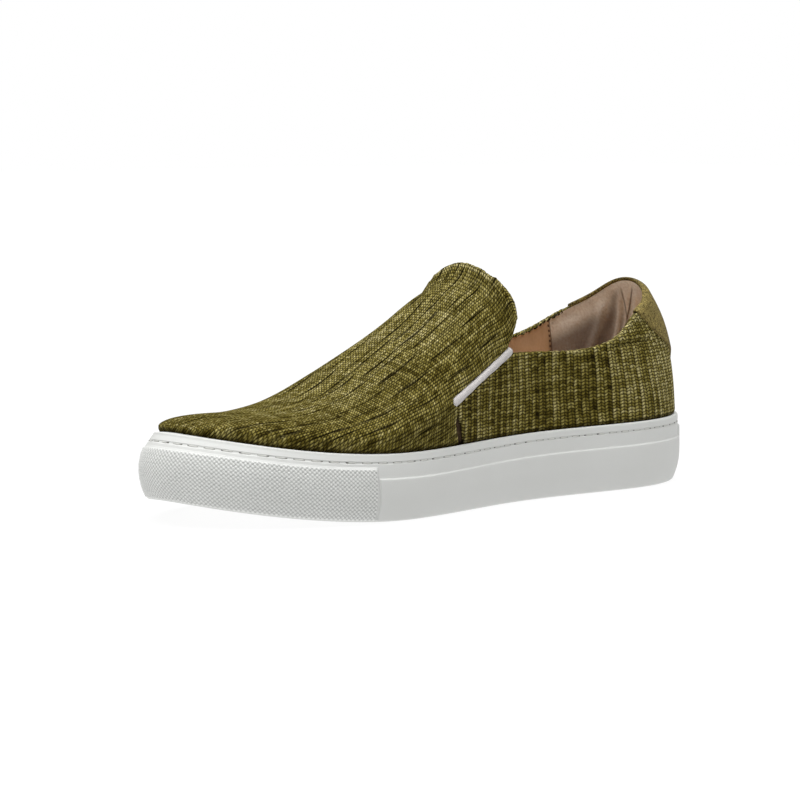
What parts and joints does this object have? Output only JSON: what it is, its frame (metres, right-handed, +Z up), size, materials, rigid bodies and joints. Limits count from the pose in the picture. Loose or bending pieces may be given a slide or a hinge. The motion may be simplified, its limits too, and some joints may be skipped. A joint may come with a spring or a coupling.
{
  "type": "slip-on shoe",
  "caption": "Left slip-on shoe with a knit upper, elastic gores beside the throat, a heel tab and a thick white rubber cupsole.",
  "frame": {"origin": "middle of the bounding box on the floor plane, under the waist of the sole", "axes": "+X from the heel to the toe, +Y to the wearer's left, which is the outer side of this left shoe, +Z up from the floor"},
  "size_m": [0.27, 0.0986, 0.0949],
  "materials": {
    "sole_rubber": "satin white moulded rubber",
    "upper_knit": "matte mottled olive rib knit",
    "insole_leather": "matte tan leather",
    "gore_elastic": "matte off-white ribbed elastic",
    "tab_leather": "matte olive-brown grained leather"
  },
  "bodies": {
    "root": {"sole": "sole_rubber", "upper": "upper_knit", "insole": "insole_leather", "gore_outer": "gore_elastic", "gore_inner": "gore_elastic", "heel_tab": "tab_leather"}
  },
  "joints": []
}
